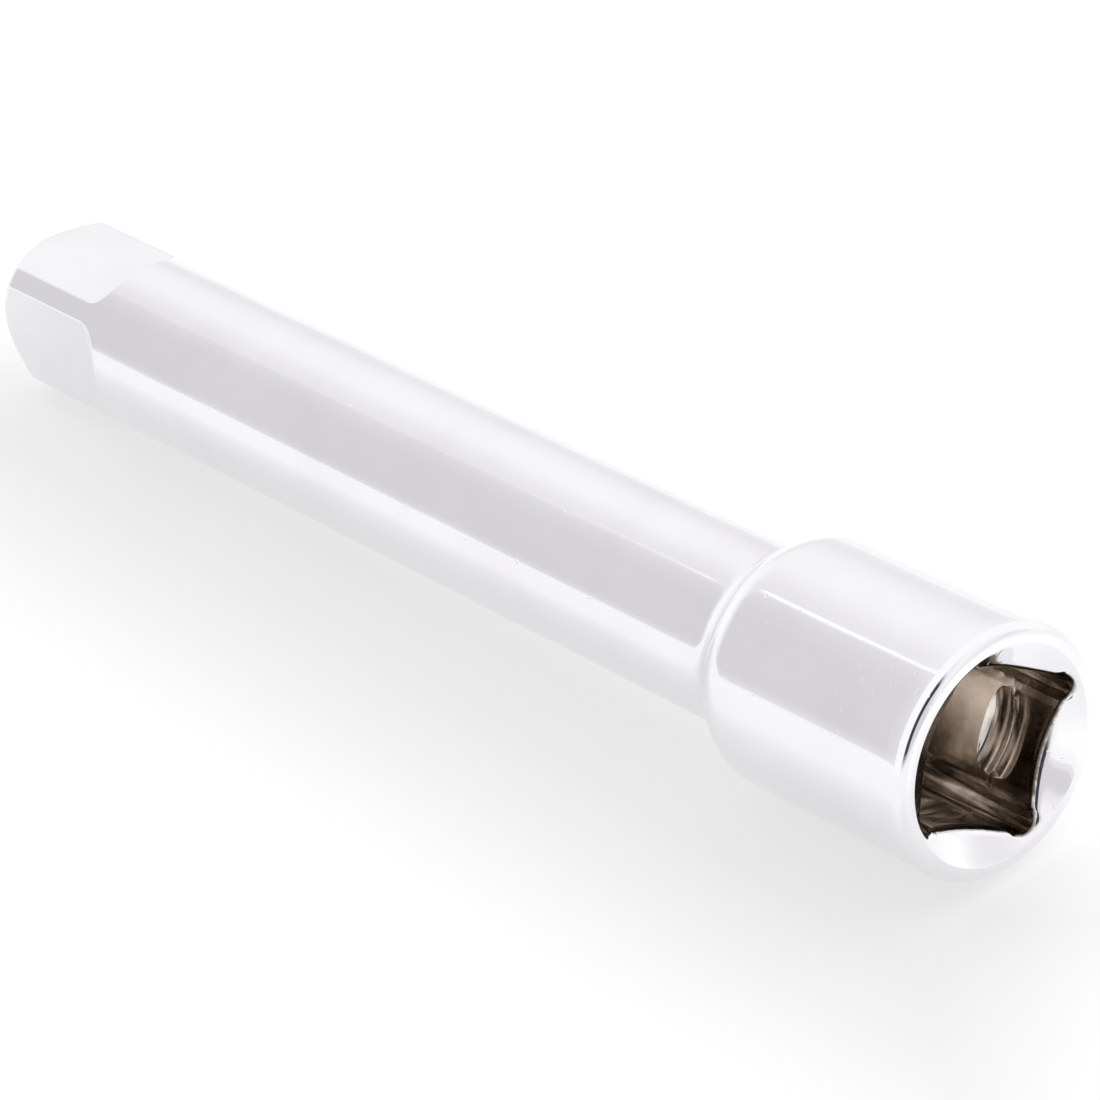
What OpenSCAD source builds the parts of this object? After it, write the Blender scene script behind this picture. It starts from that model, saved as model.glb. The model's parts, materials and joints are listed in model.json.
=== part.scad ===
// Socket extension bar: a socket head, a round shank and a drive square in one forging,
// with a spring-loaded ball in the drive square that holds a socket on.
// The bar lies along X. The origin is the middle of the socket's mouth, +X points out of
// the mouth, and the drive square is at the -X end with its flats square to Y and Z.

/* [Overall] */
// Length from the socket's face to the tip of the drive square
overall_length = 127; // [80:1:250]
// Width across the flats of the drive square, which also sizes the socket
drive_af = 12.7; // [11:0.05:15.25]

/* [Head] */
// Wall left between the corners of the square hole and the outside of the head
head_wall = 2.05; // [1.2:0.05:4]
// How far the head's straight cylinder runs past the end of the square hole
head_past_hole = 4.7; // [2:0.1:12]
// Radius of the rounding at the rear edge of the head
shoulder_round = 4.5; // [3:0.1:6]
// Radius of the hollow blend from the shoulder into the shank
shoulder_fillet = 3.5; // [2:0.1:6]
// Radius of the rounded outer edge of the mouth
mouth_round = 1.1; // [0.2:0.1:1.3]
// Width of the flat rim between that edge and the countersink
rim_width = 0.4; // [0.2:0.05:0.8]

/* [Shank] */
// Diameter of the round shank
shank_d = 16.1; // [14.5:0.1:20]

/* [Socket] */
// Play between a drive square and the flats of the square hole, across both sides
socket_play = 0.3; // [0.1:0.05:0.5]
// Depth of the square hole
socket_depth = 16.5; // [13.7:0.1:24]
// Turn of the square hole about the bar, against the drive square
socket_angle = -32; // [-45:1:45]
// Radius of the round relief in each corner of the square hole
relief_r = 1.5; // [1:0.1:2.2]
// How far each corner relief reaches past the flats beside it
relief_past = 0.2; // [0.1:0.05:0.5]
// Angle across the countersink
countersink_angle = 120; // [100:1:130]
// Distance from the face to the middle of the ball groove
groove_at = 6; // [4.8:0.1:8]
// Radius of the groove's round profile
groove_r = 3.3; // [2.5:0.1:4]
// Depth of the groove, past the flats
groove_depth = 0.95; // [0.5:0.05:1.2]
// How much smaller than the flats the pilot drill is, across
pilot_under = 0.2; // [0.1:0.1:3]
// Angle across the pilot drill's point
pilot_angle = 118; // [100:1:140]

/* [Drive square] */
// Length of the flats, from the tip to the start of the run-out
flat_length = 13.65; // [12:0.05:18]
// Radius of the run-out from each flat up into the shank
runout_r = 3; // [2:0.1:6]
// Length of the 45 degree chamfer round the tip
tip_chamfer = 1.85; // [0.5:0.05:2.4]

/* [Ball detent] */
// Diameter of the ball
ball_d = 5; // [4.6:0.1:6]
// How far the ball stands out of its flat
ball_proud = 1; // [0.6:0.05:1.2]
// Distance from the tip to the middle of the ball
ball_from_tip = 9; // [7:0.1:10]
// Clearance round the ball in its bore
ball_gap = 0.05; // [0.03:0.01:0.1]
// Steel left between the blind end of the ball's bore and the opposite flat
bore_floor = 3.2; // [1.5:0.1:4]
// Diameter of the spring wire
wire_d = 0.5; // [0.4:0.05:0.6]
// Clearance round the spring in the bore
spring_side_gap = 0.45; // [0.2:0.05:0.8]
// Number of turns in the spring, with the closed turn at each end
spring_turns = 6; // [4:1:8]
// Clearance at each end of the spring
spring_end_gap = 0.03; // [0.02:0.01:0.1]

/* [Hidden] */

$fn = 96;
CUT = 1;                     // how far a cutter runs past the surface that it opens
JOIN = 1;                    // how far one stretch of the bar runs into the next
STEEL = "#d8d9dc";
BALL_STEEL = "#b9bcc2";
SPRING_STEEL = "#8e9094";

shank_r = shank_d / 2;
tip_x = -overall_length;
flat_z = drive_af / 2;
flat_end_x = tip_x + flat_length;

// The square hole, and the head that leaves a full wall round its corners.
socket_af = drive_af + socket_play;
relief_at = socket_af / 2 + relief_past - relief_r;
corner_reach = relief_at * sqrt(2) + relief_r;
head_r = corner_reach + head_wall;
head_length = socket_depth + head_past_hole;
countersink_r = head_r - mouth_round - rim_width;
countersink_depth = countersink_r / tan(countersink_angle / 2);
groove_mid_r = socket_af / 2 + groove_depth - groove_r;
pilot_r = (socket_af - pilot_under) / 2;
pilot_point = pilot_r / tan(pilot_angle / 2);

// The shoulder is two arcs that meet on a common slope: the rounding, then the hollow blend.
shoulder_turn = acos(1 - (head_r - shank_r) / (shoulder_round + shoulder_fillet));
round_length = shoulder_round * sin(shoulder_turn);
shoulder_length = (shoulder_round + shoulder_fillet) * sin(shoulder_turn);
blend_r = shank_r + shoulder_fillet * (1 - cos(shoulder_turn));

ball_r = ball_d / 2;
bore_r = ball_r + ball_gap;
ball_x = tip_x + ball_from_tip;
ball_z = -flat_z - ball_proud + ball_r;      // the ball is in the -Z flat
bore_end_z = flat_z - bore_floor;

// The spring stands on the bore's blind end, and its last turn sits on the ball.
wire_r = wire_d / 2;
spring_r = bore_r - spring_side_gap - wire_r;
spring_top_z = bore_end_z - wire_r - spring_end_gap;
spring_foot_z = ball_z + sqrt(pow(ball_r + wire_r + spring_end_gap, 2) - pow(spring_r, 2));
RINGS_PER_TURN = 24;
WIRE_SIDES = 10;

// Draws its children's height along the bar, with their base plane at the socket's face.
module along_bar() {
    rotate([0, 90, 0]) children();
}

// Half of the bar's lengthwise section: X is the radius and Y runs along the bar.
module head_outline() {
    translate([0, -head_length]) square([head_r, head_length - mouth_round]);
    translate([0, -head_length]) square([head_r - mouth_round, head_length]);
    translate([head_r - mouth_round, -mouth_round]) circle(mouth_round);
}

// The rounding at the head's rear edge, as far as the common slope.
module rounding_outline() {
    foot = -head_length - round_length;
    intersection() {
        translate([0, foot]) square([head_r, round_length + JOIN]);
        union() {
            translate([0, foot]) square([head_r - shoulder_round, round_length + JOIN]);
            translate([head_r - shoulder_round, -head_length]) circle(shoulder_round);
        }
    }
}

// The hollow blend, from the common slope down to the shank.
module blend_outline() {
    foot = -head_length - shoulder_length;
    difference() {
        translate([0, foot]) square([blend_r, shoulder_length]);
        translate([shank_r + shoulder_fillet, foot]) circle(shoulder_fillet);
    }
}

module shank_outline() {
    polygon([
        [0, JOIN - head_length],
        [shank_r, JOIN - head_length],
        [shank_r, tip_x + tip_chamfer],
        [shank_r - tip_chamfer, tip_x],
        [0, tip_x]
    ]);
}

module blank() {
    along_bar() {
        rotate_extrude() head_outline();
        rotate_extrude() rounding_outline();
        rotate_extrude() blend_outline();
        rotate_extrude() shank_outline();
    }
}

// The square hole with its corner reliefs, countersink, ball groove and pilot drill.
module socket_cut() {
    along_bar() {
        translate([0, 0, -socket_depth])
            linear_extrude(socket_depth + CUT)
                rotate(socket_angle) {
                    square(socket_af, center = true);
                    for (i = [-1, 1], j = [-1, 1])
                        translate([i * relief_at, j * relief_at]) circle(relief_r);
                }
        translate([0, 0, -countersink_depth])
            cylinder(h = countersink_depth, r1 = 0, r2 = countersink_r);
        rotate_extrude() translate([groove_mid_r, -groove_at]) circle(groove_r);
        translate([0, 0, -socket_depth - pilot_point])
            cylinder(h = pilot_point, r1 = 0, r2 = pilot_r);
    }
}

// One flat of the drive square, cut by a tool whose round edge leaves the run-out.
module flat_cut() {
    depth = shank_r - flat_z + CUT;
    translate([tip_x - CUT, -shank_r - CUT, flat_z])
        cube([flat_length + CUT, shank_d + 2 * CUT, depth]);
    translate([flat_end_x, 0, flat_z + runout_r])
        rotate([90, 0, 0]) cylinder(h = shank_d + 2 * CUT, r = runout_r, center = true);
    if (depth > runout_r)
        translate([flat_end_x, -shank_r - CUT, flat_z + runout_r])
            cube([runout_r, shank_d + 2 * CUT, depth]);
}

// The blind bore for the ball. Its mouth narrows over the ball and keeps it in.
module bore_cut() {
    translate([ball_x, 0, ball_z]) {
        sphere(bore_r);
        cylinder(h = bore_end_z - ball_z, r = bore_r);
    }
}

module bar_body() {
    color(STEEL)
        difference() {
            blank();
            socket_cut();
            for (side = [0:3]) rotate([side * 90, 0, 0]) flat_cut();
            bore_cut();
        }
}

module detent_ball() {
    color(BALL_STEEL) translate([ball_x, 0, ball_z]) sphere(ball_r);
}

// Height of the wire's centre after t turns: a closed turn at each end, an even pitch between.
function spring_rise(t) =
    let (closed = wire_d, open = spring_top_z - spring_foot_z - 2 * closed)
    t < 1 ? closed * t
    : t > spring_turns - 1 ? closed + open + closed * (t - spring_turns + 1)
    : closed + open * (t - 1) / (spring_turns - 2);

// One ring of points round the wire, after t turns.
function wire_ring(t) = [
    for (j = [0:WIRE_SIDES - 1])
        let (a = 360 * t, b = 360 * j / WIRE_SIDES, r = spring_r + wire_r * cos(b))
        [r * cos(a), r * sin(a), spring_rise(t) + wire_r * sin(b)]
];

module detent_spring() {
    rings = spring_turns * RINGS_PER_TURN;
    n = WIRE_SIDES;
    points = [for (i = [0:rings]) each wire_ring(i / RINGS_PER_TURN)];
    sides = [
        for (i = [0:rings - 1], j = [0:n - 1])
            let (k = (j + 1) % n)
            [i * n + j, (i + 1) * n + j, (i + 1) * n + k, i * n + k]
    ];
    ends = [[for (j = [0:n - 1]) j], [for (j = [n - 1:-1:0]) rings * n + j]];
    color(SPRING_STEEL)
        translate([ball_x, 0, spring_foot_z])
            polyhedron(points, concat(sides, ends), convexity = spring_turns);
}

bar_body();
detent_ball();
detent_spring();
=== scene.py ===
# %% [markdown]
# # A chromed socket extension bar
#
# This lesson builds the visible surfaces of a socket extension bar: one steel forging with a
# socket at one end and a drive square at the other, and a small spring-loaded ball in the
# square. The design file already fixes every size, so the first cell loads that model as a
# frame, and all the shapes below are worked out to lie on it.

import json
import math

import bpy
import numpy as np
from mathutils import Matrix, Vector


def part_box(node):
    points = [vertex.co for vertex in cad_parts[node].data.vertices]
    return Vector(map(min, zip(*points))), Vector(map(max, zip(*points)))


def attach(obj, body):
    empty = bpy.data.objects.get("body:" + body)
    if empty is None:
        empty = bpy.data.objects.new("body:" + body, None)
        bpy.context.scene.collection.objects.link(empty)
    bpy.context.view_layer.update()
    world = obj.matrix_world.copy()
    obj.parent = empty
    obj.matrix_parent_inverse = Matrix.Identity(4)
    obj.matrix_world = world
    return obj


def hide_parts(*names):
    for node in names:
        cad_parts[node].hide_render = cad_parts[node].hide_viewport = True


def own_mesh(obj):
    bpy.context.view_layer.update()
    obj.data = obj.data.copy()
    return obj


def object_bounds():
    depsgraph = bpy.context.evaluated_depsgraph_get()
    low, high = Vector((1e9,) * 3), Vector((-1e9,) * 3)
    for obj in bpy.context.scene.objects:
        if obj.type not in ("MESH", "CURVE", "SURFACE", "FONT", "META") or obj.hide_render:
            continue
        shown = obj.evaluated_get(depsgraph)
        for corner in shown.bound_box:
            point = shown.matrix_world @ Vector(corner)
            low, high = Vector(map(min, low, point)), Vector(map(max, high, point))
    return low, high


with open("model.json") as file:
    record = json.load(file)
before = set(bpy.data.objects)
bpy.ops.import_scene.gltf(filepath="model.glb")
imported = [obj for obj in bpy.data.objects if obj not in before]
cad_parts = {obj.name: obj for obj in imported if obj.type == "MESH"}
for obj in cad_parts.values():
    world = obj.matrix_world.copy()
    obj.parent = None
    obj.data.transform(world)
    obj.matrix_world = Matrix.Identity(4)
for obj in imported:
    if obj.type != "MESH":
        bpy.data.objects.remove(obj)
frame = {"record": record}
cad_box = [list(corner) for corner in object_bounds()]
print("model box, mm:", [[round(v * 1000, 2) for v in corner] for corner in cad_box])

# %% [markdown]
# ## Sizes
#
# Most sizes can be read from the frame: the model's box gives the bar's length and the head's
# radius, and the mounts in its record give the shank and the flats. The few that are hidden
# inside the metal, such as the groove in the socket, are written here once, in millimetres.

# %% Read the sizes
MM = 0.001
mounts = {mount["name"]: mount for mount in frame["record"]["mounts"]}
ball_low, ball_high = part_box("detent_ball")

TIP = cad_box[0][0] / MM
HEAD_R = cad_box[1][1] / MM
SHANK_R = mounts["shank_grip"]["dims"]["r_mm"]
FLAT = mounts["drive_flat"]["pos_m"][2] / MM
BALL_R = (ball_high.x - ball_low.x) / 2 / MM
BALL_X = (ball_high.x + ball_low.x) / 2 / MM
BALL_Z = (ball_high.z + ball_low.z) / 2 / MM

HEAD_LENGTH = 21.2
MOUTH_ROUND = 1.1
RIM_WIDTH = 0.4
SHOULDER_ROUND = 4.5
SHOULDER_BLEND = 3.5
FLAT_LENGTH = 13.65
RUNOUT_R = 3.0
TIP_CHAMFER = 1.85
SOCKET_HALF = 6.5
SOCKET_DEPTH = 16.5
SOCKET_TURN = -32.0
RELIEF_R = 1.5
RELIEF_PAST = 0.2
RELIEF_AT = SOCKET_HALF + RELIEF_PAST - RELIEF_R
COUNTERSINK_HALF_ANGLE = math.radians(60)
GROOVE_AT = -6.0
GROOVE_DEPTH = 0.95
PILOT_R = 6.4
PILOT_HALF_ANGLE = math.radians(59)
BALL_GAP = 0.05
BORE_R = BALL_R + BALL_GAP
BORE_END = 3.15
WIRE_R = 0.25
SPRING_R = 1.85
SPRING_TURNS = 6
print(f"tip {TIP:.1f}, head radius {HEAD_R:.2f}, shank radius {SHANK_R}, flat at {FLAT:.2f}")

# %% [markdown]
# ## Camera
#
# The bar is seen from in front of its socket and a little above, and the camera leans over, so
# the far end climbs to the upper left. A long lens keeps the drive square nearly as large as
# the head. Azimuth, elevation and lean give the direction, and the target lies on the bar.

# %% Place the camera
VIEW_AZIMUTH = math.radians(55.37)
VIEW_ELEVATION = math.radians(32.04)
VIEW_LEAN = math.radians(11.35)
VIEW_TARGET = Vector((-53.98, -0.84, -0.76)) * MM
VIEW_DISTANCE = 447.7 * MM
VIEW_LENS, SENSOR_WIDTH = 172.25, 36.0
CLIP_START, CLIP_END = 0.01, 20.0


def place_camera():
    """A camera on the line that leaves the target at the given azimuth and elevation."""
    back = Vector((
        math.sin(VIEW_AZIMUTH) * math.cos(VIEW_ELEVATION),
        -math.cos(VIEW_AZIMUTH) * math.cos(VIEW_ELEVATION),
        math.sin(VIEW_ELEVATION),
    ))
    data = bpy.data.cameras.new("camera")
    data.lens, data.sensor_width = VIEW_LENS, SENSOR_WIDTH
    data.clip_start, data.clip_end = CLIP_START, CLIP_END
    camera = bpy.data.objects.new("camera", data)
    camera.matrix_world = (
        Matrix.Translation(VIEW_TARGET + back * VIEW_DISTANCE)
        @ (-back).to_track_quat("-Z", "Y").to_matrix().to_4x4()
        @ Matrix.Rotation(-VIEW_LEAN, 4, "Z")
    )
    bpy.context.scene.collection.objects.link(camera)
    bpy.context.scene.camera = camera
    return camera


camera = place_camera()
print("camera at, mm:", [round(v / MM, 1) for v in camera.location])

# %% [markdown]
# ## Mesh helpers
#
# Every surface here is a grid of points: rows run along a piece and columns run round it. One
# helper turns a grid with a pole at each end into faces, and another hands whole arrays to
# Blender at once. Shapes are worked out in millimetres and stored in metres.

# %% Grid helpers
def grid_quads(numbers):
    """Quads between the rows of a table of point numbers whose columns close on themselves."""
    here, there = numbers, np.roll(numbers, -1, axis=1)
    return np.stack([here[:-1], here[1:], there[1:], there[:-1]], -1).reshape(-1, 4)


def fan(ring, pole, opening):
    """Triangles that close a ring with a pole, at the grid's opening row or at its last row."""
    there = np.roll(ring, -1)
    middle = np.full_like(ring, pole)
    return np.stack([ring, there, middle] if opening else [ring, middle, there], -1)


def signed_volume(points, quads, triangles):
    """Six times the volume inside the faces, as a sum of corner determinants."""
    split = np.concatenate([quads[:, [0, 1, 2]], quads[:, [0, 2, 3]], triangles])
    a, b, c = (points[split[:, n]] for n in range(3))
    return (np.cross(a, b) * c).sum()


def make_mesh(name, points, quads, triangles, sharp_angle=32):
    """A mesh object from whole arrays: faces outward, smooth but for turns over sharp_angle."""
    corners = np.concatenate([quads.ravel(), triangles.ravel()]).astype(np.int32)
    sizes = np.concatenate([np.full(len(quads), 4), np.full(len(triangles), 3)])
    mesh = bpy.data.meshes.new(name)
    mesh.vertices.add(len(points))
    mesh.vertices.foreach_set("co", (points * MM).astype(np.float32).ravel())
    mesh.loops.add(len(corners))
    mesh.loops.foreach_set("vertex_index", corners)
    mesh.polygons.add(len(sizes))
    mesh.polygons.foreach_set("loop_start", (np.cumsum(sizes) - sizes).astype(np.int32))
    mesh.update(calc_edges=True)
    volume = signed_volume(points, quads, triangles)
    if volume < 0:
        mesh.flip_normals()
    mesh.set_sharp_from_angle(angle=math.radians(sharp_angle))
    obj = bpy.data.objects.new(name, mesh)
    bpy.context.scene.collection.objects.link(obj)
    print(f"{name}: {len(points)} points, {len(sizes)} faces, {abs(volume) / 6:.1f} mm3")
    return obj


def closed_grid(rows, first_pole, last_pole):
    """Points, quads and triangles of a grid that closes round each row and at both poles."""
    count, columns = rows.shape[:2]
    numbers = np.arange(count * columns).reshape(count, columns)
    points = np.concatenate([rows.reshape(-1, 3), [first_pole, last_pole]])
    caps = [fan(numbers[0], count * columns, True), fan(numbers[-1], count * columns + 1, False)]
    return points, grid_quads(numbers), np.concatenate(caps)


# %% [markdown]
# Four small formulas shape every section that follows: a list of steps with several spacings,
# a smooth least value, which rounds the edge between two surfaces, a fillet between two lines,
# and a ripple, which stands for the slight waviness of forged and polished steel.

# %% Shape helpers
LENGTH_SPREAD = (0.7, 1.4)


def steps(*stretches):
    """A rising list from (start, end, count) stretches that meet: count steps in each one."""
    parts = [np.linspace(start, end, count, endpoint=False) for start, end, count in stretches]
    return np.concatenate(parts + [[stretches[-1][1]]])


def smooth_least(a, b, width):
    """The lesser of a and b, less a parabola where they differ by under width."""
    return np.minimum(a, b) - np.maximum(width - np.abs(a - b), 0) ** 2 / (4 * width)


def fillet(before, corner, after, radius, count):
    """An arc of the given radius that touches both lines at a corner, in count steps.

    The arc's centre is on the corner's bisector at radius / sin(half angle). Its points come
    from turning evenly between the two touching points."""
    to_before, to_after = before - corner, after - corner
    to_before = to_before / np.linalg.norm(to_before, axis=-1, keepdims=True)
    to_after = to_after / np.linalg.norm(to_after, axis=-1, keepdims=True)
    half = np.arccos(np.clip((to_before * to_after).sum(-1), -1, 1))[..., None] / 2
    radius = np.broadcast_to(radius, half.shape[:-1])[..., None]
    middle = to_before + to_after
    middle = middle / np.linalg.norm(middle, axis=-1, keepdims=True)
    centre = corner + middle * radius / np.sin(half)
    start = corner + to_before * radius / np.tan(half) - centre
    end = corner + to_after * radius / np.tan(half) - centre
    turn = math.pi - 2 * half
    s = np.linspace(0, 1, count + 1)[:, None, None]
    return centre + (np.sin((1 - s) * turn) * start + np.sin(s * turn) * end) / np.sin(turn)


def ripple(points, wavelength, seed, waves=14):
    """A smooth random field, about -1 to 1: plane waves of near one length, any direction."""
    rng = np.random.default_rng(seed)
    directions = rng.normal(size=(waves, 3))
    directions /= np.linalg.norm(directions, axis=1)[:, None]
    pitch = 2 * np.pi / (wavelength * rng.uniform(*LENGTH_SPREAD, waves))
    phase = rng.uniform(0, 2 * np.pi, waves)
    return np.sin((points @ directions.T) * pitch + phase).sum(-1) / math.sqrt(waves * 2)


print("steps:", steps((0, 1, 2), (1, 4, 3)))

# %% [markdown]
# ## Columns round the bar
#
# The drive square needs its columns crowded at the edges where a flat meets a corner, and the
# socket needs them crowded in its round corner reliefs. Both ends get the same number of
# columns, so they can drift from one spacing to the other along the round shank, where that
# makes no difference to the shape. The whole bar is then one closed skin.

# %% Space the columns
FLAT_EDGE = math.degrees(math.acos(FLAT / SHANK_R))
EDGE_BAND = 2.4
CORNER_COLUMNS, EDGE_COLUMNS, FLAT_COLUMNS = 5, 12, 38
SIDE_COLUMNS = 2 * (CORNER_COLUMNS + EDGE_COLUMNS) + FLAT_COLUMNS
RELIEF_COLUMNS = 18
RELIEF_LEAVE = -math.acos((SOCKET_HALF - RELIEF_AT) / RELIEF_R)
WALL_HALF = RELIEF_AT + RELIEF_R * math.sin(RELIEF_LEAVE)
RELIEF_EDGE = math.degrees(math.atan2(WALL_HALF, SOCKET_HALF))


def square_angles():
    """Angles across one side of the drive square, from corner to corner."""
    inner, outer = FLAT_EDGE - EDGE_BAND, FLAT_EDGE + EDGE_BAND
    return steps(
        (-45, -outer, CORNER_COLUMNS), (-outer, -inner, EDGE_COLUMNS),
        (-inner, inner, FLAT_COLUMNS),
        (inner, outer, EDGE_COLUMNS), (outer, 45, CORNER_COLUMNS),
    )[:-1]


def socket_side():
    """One side of the square hole, from diagonal to diagonal, as (distance out, distance along).

    The flat is a straight line at half the hole's width. Each end goes on round its relief,
    a circle whose centre is on the diagonal, from where the circle leaves the flat."""
    turn = np.linspace(RELIEF_LEAVE, math.pi / 4, RELIEF_COLUMNS + 1)[1:]
    relief = RELIEF_AT + RELIEF_R * np.stack([np.cos(turn), np.sin(turn)], -1)
    along = np.linspace(-WALL_HALF, WALL_HALF, SIDE_COLUMNS - 2 * RELIEF_COLUMNS + 1)
    flat = np.stack([np.full_like(along, SOCKET_HALF), along], -1)
    return np.concatenate([relief[::-1] * [1, -1], flat, relief])[:-1]


def four_sides(side):
    """The same numbers for all four sides."""
    return np.tile(side, 4)


quarter_turn = np.repeat(90 * np.arange(4), SIDE_COLUMNS)
side_points = socket_side()
square_delta = four_sides(np.radians(square_angles()))
square_angle = np.radians(quarter_turn) + square_delta
socket_r = four_sides(np.hypot(side_points[:, 0], side_points[:, 1]))
socket_delta = four_sides(np.arctan2(side_points[:, 1], side_points[:, 0]))
socket_angle = np.radians(quarter_turn + SOCKET_TURN) + socket_delta
COLUMNS = len(square_angle)
print(COLUMNS, "columns; hole from", socket_r.min(), "to", round(socket_r.max(), 3), "mm")

# %% [markdown]
# ## Outside of the drive square
#
# The drive square is milled out of the round bar: four flats, the round land left at each
# corner, a chamfer at the tip, and a run-out where each cutter left the metal. The radius at
# an angle is a flat's distance over the cosine of that angle, but never more than the shank's.
# The rows bend to follow the edge of the chamfer and the curved end of each flat, so both
# stay clean lines.

# %% Drive square rows
EDGE_SOFTNESS = 0.16
TIP_EDGE_R = 0.35
LAND_EDGE_R = 1.7
MOST_OF_CHAMFER = 0.9
FACE_MARGIN = 1.0
FACE_SHARES = np.linspace(0.1, 0.95, 6)
TIP_EDGE_STEPS, CHAMFER_STEPS, LAND_EDGE_STEPS, LEAD_STEPS = 5, 8, 6, 4
RUNOUT_STEPS, PAST_RUNOUT_STEPS = 16, 12
FLAT_END = TIP + FLAT_LENGTH
FLATS_START = TIP + 3
FLATS_STOP = FLAT_END - 1
RUNOUT_STOP = FLAT_END + RUNOUT_R + 0.7
CUTTER_WEAR = (1, 0.75, 1.3, 1)
PATCH_HALF = 3.2


def pair(x, r):
    """Points of a lengthwise section, one per column: place along the bar, and radius."""
    return np.stack(np.broadcast_arrays(x, r, np.zeros(COLUMNS))[:2], -1)


def between(start, end, count):
    """Rows from one row to another in a straight line, without the two rows themselves."""
    share = np.linspace(0, 1, count + 2)[1:-1, None, None]
    return start + (end - start) * share


def square_rows():
    """Tip face, tip edge, chamfer, chamfer edge, then the flats as far as their run-out."""
    outline = smooth_least(FLAT / np.cos(square_delta), SHANK_R, EDGE_SOFTNESS)
    face_r = SHANK_R - TIP_CHAMFER
    chamfer_foot = pair(TIP, face_r)
    chamfer_top = pair(TIP + outline - face_r, outline)
    inner, outer = pair(TIP, face_r - FACE_MARGIN), pair(FLAT_END, outline)
    room = MOST_OF_CHAMFER * np.linalg.norm(chamfer_top - chamfer_foot, axis=-1)
    foot_r, top_r = np.minimum(TIP_EDGE_R, room), np.minimum(LAND_EDGE_R, room)
    foot = fillet(inner, chamfer_foot, chamfer_top, foot_r, TIP_EDGE_STEPS)
    top = fillet(chamfer_foot, chamfer_top, outer, top_r, LAND_EDGE_STEPS)
    centre = pair(TIP, 0)
    face = centre + (foot[0] - centre) * FACE_SHARES[:, None, None]
    chamfer = between(foot[-1], top[0], CHAMFER_STEPS)
    flats = pair(ball_rows[:, None], outline)
    lead = between(top[-1], flats[0], LEAD_STEPS)
    return np.concatenate([face, foot, chamfer, top, lead, flats])


def runout_rows():
    """The end of each flat: its height follows the cutter's round edge up to the shank.

    Rows run first to the line where the cutter's arc meets the shank, and then past it."""
    need = SHANK_R * np.cos(square_delta) - FLAT
    cutter = np.repeat(RUNOUT_R * np.array(CUTTER_WEAR), SIDE_COLUMNS)
    arc_end = np.sqrt(np.maximum(cutter ** 2 - np.maximum(cutter - need, 0) ** 2, 0))
    meet = FLAT_END + np.where(need > 0, arc_end, 0)
    ease_in = np.sin(np.linspace(0, math.pi / 2, RUNOUT_STEPS + 1)[1:])[:, None]
    ease_out = 1 - np.cos(np.linspace(0, math.pi / 2, PAST_RUNOUT_STEPS + 1)[1:])[:, None]
    x = np.concatenate([
        FLATS_STOP + (meet - FLATS_STOP) * ease_in,
        meet + (RUNOUT_STOP - meet) * ease_out,
    ])
    over = np.clip(x - FLAT_END, 0, cutter)
    height = FLAT + cutter - np.sqrt(cutter ** 2 - over ** 2)
    r = smooth_least(height / np.cos(square_delta), SHANK_R, EDGE_SOFTNESS)
    return np.stack([x, r], -1)


ball_rows = steps(
    (FLATS_START, BALL_X - PATCH_HALF, 7),
    (BALL_X - PATCH_HALF, BALL_X + PATCH_HALF, 16),
    (BALL_X + PATCH_HALF, FLATS_STOP, 1),
)
drive_rows = np.concatenate([square_rows(), runout_rows()])
print("drive square:", len(drive_rows), "rows, to", round(drive_rows[-1, 0, 0], 2), "mm")

# %% [markdown]
# ## Outside of the shank and head
#
# From the run-out to the mouth the bar was turned on a lathe, so a row is a circle. The
# shoulder is a hollow blend and a rounding that meet on one slope, and their turn follows
# from the two radii and the step between shank and head.

# %% Shank and head rows
SHANK_ROWS = 44
HEAD_ROWS = 14
ARC_STEPS = 14
MOUTH_STEPS = 12


def shoulder_arcs():
    """Two arcs with a common slope. Their turn is where (1 - cos turn) * both radii = step."""
    both = SHOULDER_ROUND + SHOULDER_BLEND
    full = math.acos(1 - (HEAD_R - SHANK_R) / both)
    foot = -HEAD_LENGTH - both * math.sin(full)
    turn = np.linspace(0, full, ARC_STEPS + 1)
    blend = [foot + SHOULDER_BLEND * np.sin(turn), SHANK_R + SHOULDER_BLEND * (1 - np.cos(turn))]
    back = turn[::-1][1:]
    rounding = [
        -HEAD_LENGTH - SHOULDER_ROUND * np.sin(back),
        HEAD_R - SHOULDER_ROUND * (1 - np.cos(back)),
    ]
    return foot, np.concatenate([np.stack(blend, -1), np.stack(rounding, -1)])


def circle_rows(section):
    """A row for each point of a turned section."""
    return pair(section[:, :1], section[:, 1:])


shank_foot, shoulder = shoulder_arcs()
shank_x = np.linspace(RUNOUT_STOP, shank_foot, SHANK_ROWS + 1)[1:-1]
head_x = np.linspace(-HEAD_LENGTH, -MOUTH_ROUND, HEAD_ROWS + 1)[1:-1]
mouth_turn = np.linspace(0, math.pi / 2, MOUTH_STEPS + 1)
rim_r = HEAD_R - MOUTH_ROUND
mouth_x = -MOUTH_ROUND * (1 - np.sin(mouth_turn))
mouth = np.stack([mouth_x, rim_r + MOUTH_ROUND * np.cos(mouth_turn)], -1)
turned_rows = circle_rows(np.concatenate([
    np.stack([shank_x, np.full_like(shank_x, SHANK_R)], -1), shoulder,
    np.stack([head_x, np.full_like(head_x, HEAD_R)], -1), mouth,
]))
print("shank and head:", len(turned_rows), "rows; shoulder starts at", round(shank_foot, 2), "mm")

# %% [markdown]
# ## Inside of the socket
#
# A wide countersink leads a drive square in. Where it meets the four walls the edge was worn
# round by the punch and the plating, so it gets a fillet, which is smaller at the reliefs
# because the cone is short there. A groove for the ball is turned into the walls in two
# passes, and the hole ends in the cone of its pilot drill.

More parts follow.
